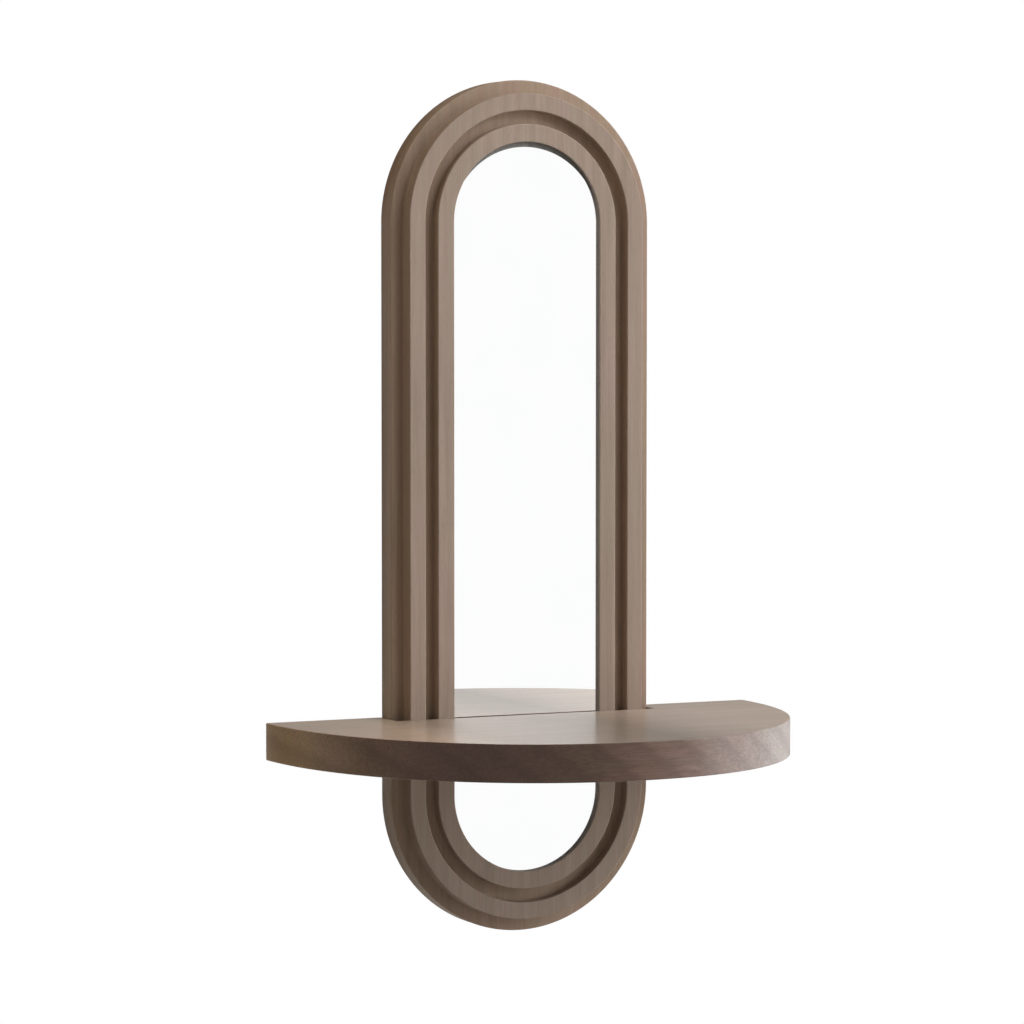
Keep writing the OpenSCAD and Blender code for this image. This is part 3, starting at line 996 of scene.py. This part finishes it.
# Studio: a pale floor far below, four soft lamps in front and one behind, and a surround that is
# bright below in front, most at the right, and dim behind. To the camera, and in reflections of
# the front, it is white.
floor_drop = 1.6
floor_radius = 6.0
floor_steps = 96
low_light = (0.72, 1.56)
back_light = 0.2
back_reflection = (0.04, 0.36)
horizon = 0.15
side_turn = 0.35
floor_white = 0.8
floor_grey = (0.6, 0.6, 0.59, 1)
white = (1, 1, 1, 1)
low_colour = (1, 0.91, 0.8, 1)
back_colour = (1, 0.82, 0.66, 1)


def add_background(tree, colour, strength):
    """Light of the world in one colour, at a strength that may differ from way to way."""
    return add_node(tree, "ShaderNodeBackground", {"Color": colour, "Strength": strength}).outputs[0]


def mix_shaders(tree, factor, first, second):
    """Mix of two shaders."""
    return add_node(tree, "ShaderNodeMixShader", {0: factor, 1: first, 2: second}).outputs[0]


def reflected(tree, ray):
    """1 for a ray that a shiny face throws or that glass lets through, and else 0."""
    return add_math(tree, "MAXIMUM", ray["Is Glossy Ray"], ray["Is Transmission Ray"])


# The floor is matt grey, and nearly white to the camera and in reflections
floor_disc = bmesh.new()
bmesh.ops.create_circle(floor_disc, cap_ends=True, radius=floor_radius, segments=floor_steps)
floor_mesh = bpy.data.meshes.new("floor")
floor_disc.to_mesh(floor_mesh)
floor_disc.free()
floor_mesh.transform(Matrix.Translation((0, 0, -floor_drop)))
floor = bpy.data.objects.new("floor", floor_mesh)
scene_objects.link(floor)
floor_paint, tree = new_material("floor_paint")
ray = add_node(tree, "ShaderNodeLightPath").outputs
shown = add_math(tree, "MAXIMUM", ray["Is Camera Ray"], reflected(tree, ray))
matt = add_node(tree, "ShaderNodeBsdfDiffuse", {"Color": floor_grey}).outputs[0]
glow = add_node(tree, "ShaderNodeEmission", {"Color": white, "Strength": 1.0}).outputs[0]
mixed = mix_shaders(tree, add_math(tree, "MULTIPLY", shown, floor_white), matt, glow)
add_node(tree, "ShaderNodeOutputMaterial", {"Surface": mixed})
floor_mesh.materials.append(floor_paint)
floor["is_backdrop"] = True

# The surround: its light on matt faces, its light in reflections, and what the camera sees of it
world = bpy.data.worlds.new("studio")
bpy.context.scene.world = world
world.use_nodes = True
tree = world.node_tree
tree.nodes.clear()
ray = add_node(tree, "ShaderNodeLightPath").outputs
direction = add_node(tree, "ShaderNodeTexCoord").outputs["Generated"]
way = add_node(tree, "ShaderNodeSeparateXYZ", {0: direction}).outputs
in_front = add_range(tree, way["Y"], horizon, -horizon)
below = add_range(tree, way["Z"], horizon, -horizon)
low_front = add_math(tree, "MULTIPLY", in_front, below)
low_glow = add_range(tree, way["X"], -side_turn, side_turn, *low_light)
back_glow = add_range(tree, in_front, 0.0, 1.0, to_low=back_light, to_high=0.0)
lit = add_node(tree, "ShaderNodeAddShader", {
    0: add_background(tree, low_colour, add_math(tree, "MULTIPLY", low_front, low_glow)),
    1: add_background(tree, back_colour, back_glow)}).outputs[0]
back_shine = add_range(tree, way["X"], -side_turn, side_turn, *back_reflection)
shine = add_range(tree, in_front, 0.0, 1.0, to_low=back_shine, to_high=1.0)
either = mix_shaders(tree, reflected(tree, ray), lit, add_background(tree, white, shine))
seen = mix_shaders(tree, ray["Is Camera Ray"], either, add_background(tree, white, 1.0))
add_node(tree, "ShaderNodeOutputWorld", {"Surface": seen})


def studio_lamp(name, azimuth, height, size, level, distance=2.0, colour=(1, 1, 1)):
    """Square area lamp. At a level of 1 it lights a white face turned to it to white."""
    data = bpy.data.lights.new(name, "AREA")
    data.color = colour
    data.shape = "SQUARE"
    data.size = size
    data.energy = level * (math.pi * distance) ** 2
    lamp = bpy.data.objects.new(name, data)
    scene_objects.link(lamp)
    side = math.radians(azimuth)
    lift = math.radians(height)
    towards = Vector((math.sin(side) * math.cos(lift), -math.cos(side) * math.cos(lift), math.sin(lift)))
    lamp.location = (cad_low + cad_high) / 2 + towards * distance
    lamp.rotation_mode = "QUATERNION"
    lamp.rotation_quaternion = towards.to_track_quat("Z", "Y")


studio_lamp("key_lamp", azimuth=60, height=18, size=1.0, level=0.52)
studio_lamp("overhead_lamp", azimuth=40, height=45, size=1.2, level=0.60)
studio_lamp("left_lamp", azimuth=-70, height=55, size=1.0, level=0.29, colour=(1, 0.86, 0.7))
studio_lamp("low_lamp", azimuth=70, height=-10, size=1.2, level=0.32)
studio_lamp("back_lamp", azimuth=180, height=-3, size=0.8, level=0.3)


# Camera: at the photograph's viewing angle, to the left of the mirror and a little above its shelf.
# Its place and lens come from the fit to the edges of the frame and of the shelf.
picture_width = 36.0
focal_share = 3.74441
camera_azimuth = math.radians(25.4872)
camera_pitch = math.radians(2.9178)
camera_distance = 1.563435
aim = Vector((0.000522, 0.0, -0.162289))
camera_data = bpy.data.cameras.new("camera")
camera_data.sensor_width = picture_width
camera_data.lens = focal_share * picture_width
camera = bpy.data.objects.new("camera", camera_data)
scene_objects.link(camera)
level_share = math.cos(camera_pitch)
backwards = Vector((-math.sin(camera_azimuth) * level_share, -math.cos(camera_azimuth) * level_share,
                    math.sin(camera_pitch)))
camera.location = aim + backwards * camera_distance
camera.rotation_mode = "QUATERNION"
camera.rotation_quaternion = (-backwards).to_track_quat("-Z", "Y")
bpy.context.scene.camera = camera
bpy.context.scene.view_settings.view_transform = "Standard"

low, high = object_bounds()
